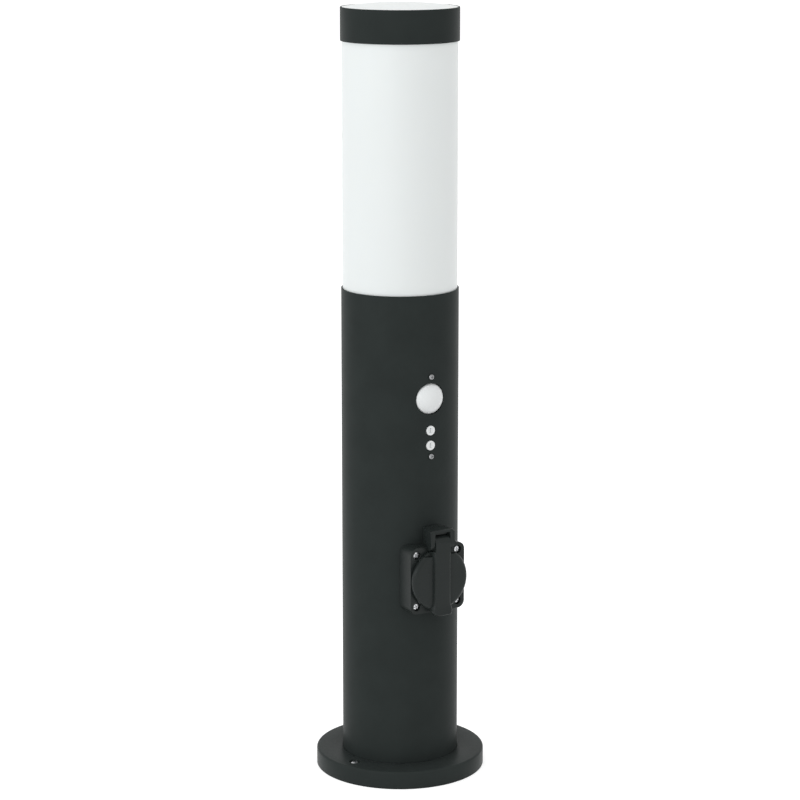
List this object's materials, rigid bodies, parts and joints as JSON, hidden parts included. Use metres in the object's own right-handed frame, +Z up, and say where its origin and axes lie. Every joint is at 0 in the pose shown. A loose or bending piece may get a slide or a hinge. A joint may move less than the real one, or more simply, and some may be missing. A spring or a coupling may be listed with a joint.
{
  "type": "bollard light with socket",
  "caption": "Round bollard light for the garden: opal lamp head on a dark tube post with a flanged foot, a motion sensor and a weatherproof outlet with a sprung lid.",
  "frame": {"origin": "on the post's axis at the ground, in the middle of the foot's underside", "axes": "+Z up along the post; the sensor and the outlet face -Y; +X to the right when seen from the back"},
  "size_m": [0.111, 0.111, 0.5037],
  "materials": {
    "anthracite_metal": "satin powder coat",
    "black_plastic": "fine matt",
    "opal_plastic": "satin opal",
    "white_plastic": "satin",
    "zinc_steel": "zinc plated",
    "brass": "plain",
    "black_rubber": "matt",
    "dark_plastic": "fine matt",
    "grey_plastic": "fine matt",
    "blue_plastic": "satin",
    "green_board": "solder mask",
    "porcelain": "glazed",
    "lamp_metal": "plain",
    "lamp_white": "satin"
  },
  "bodies": {
    "post": {"base_flange": "anthracite_metal", "bracket_screw": "zinc_steel", "carrier_lugs": "zinc_steel", "carrier_screws": "zinc_steel", "core_screw": "zinc_steel", "cup_seal_ring": "black_rubber", "earth_screw": "brass", "earth_strap": "brass", "foot_ring": "zinc_steel", "foot_screws": "zinc_steel", "gland_body": "dark_plastic", "gland_dome_nut": "dark_plastic", "gland_locknut": "dark_plastic", "gland_seal": "black_rubber", "hinge_pin": "zinc_steel", "holder_screws": "zinc_steel", "lamp_body": "lamp_white", "lamp_cap": "lamp_metal", "lamp_carrier": "dark_plastic", "lamp_globe": "lamp_white", "lampholder_body": "porcelain", "lampholder_contact": "brass", "lampholder_shell": "brass", "line_contacts": "brass", "pir_element": "lamp_metal", "post_tube": "anthracite_metal", "sensor_board": "green_board", "sensor_case": "dark_plastic", "sensor_cover": "dark_plastic", "sensor_gasket": "black_rubber", "sensor_lens": "white_plastic", "sensor_relay": "dark_plastic", "sensor_screws": "zinc_steel", "socket_core": "grey_plastic", "socket_gasket": "black_rubber", "socket_housing": "black_plastic", "socket_screws": "zinc_steel", "terminal_block": "grey_plastic", "terminal_bracket": "zinc_steel", "terminal_screws": "brass", "trim_pots": "blue_plastic"},
    "socket_lid": {"socket_lid": "black_plastic", "lid_seal": "black_rubber", "lid_spring": "zinc_steel"},
    "time_knob": {"time_knob": "white_plastic"},
    "lux_knob": {"lux_knob": "white_plastic"},
    "head": {"opal_cup": "opal_plastic", "cap_band": "anthracite_metal"}
  },
  "joints": [
    {"name": "socket_lid_hinge", "type": "hinge", "parent": "post", "child": "socket_lid", "pos_m": [0, -0.0486, 0.1622], "axis": [-1, 0, 0], "range_deg": [0, 95], "stiffness_Nm_per_rad": 0.01, "springref_deg": -57.3},
    {"name": "time_knob_turn", "type": "hinge", "parent": "post", "child": "time_knob", "pos_m": [0, -0.0381, 0.2339], "axis": [0, -1, 0], "range_deg": [-135, 135]},
    {"name": "lux_knob_turn", "type": "hinge", "parent": "post", "child": "lux_knob", "pos_m": [0, -0.0381, 0.2241], "axis": [0, -1, 0], "range_deg": [-135, 135]},
    {"name": "head_lift", "type": "slide", "parent": "post", "child": "head", "axis": [0, 0, 1], "range_m": [0, 0.15]}
  ]
}
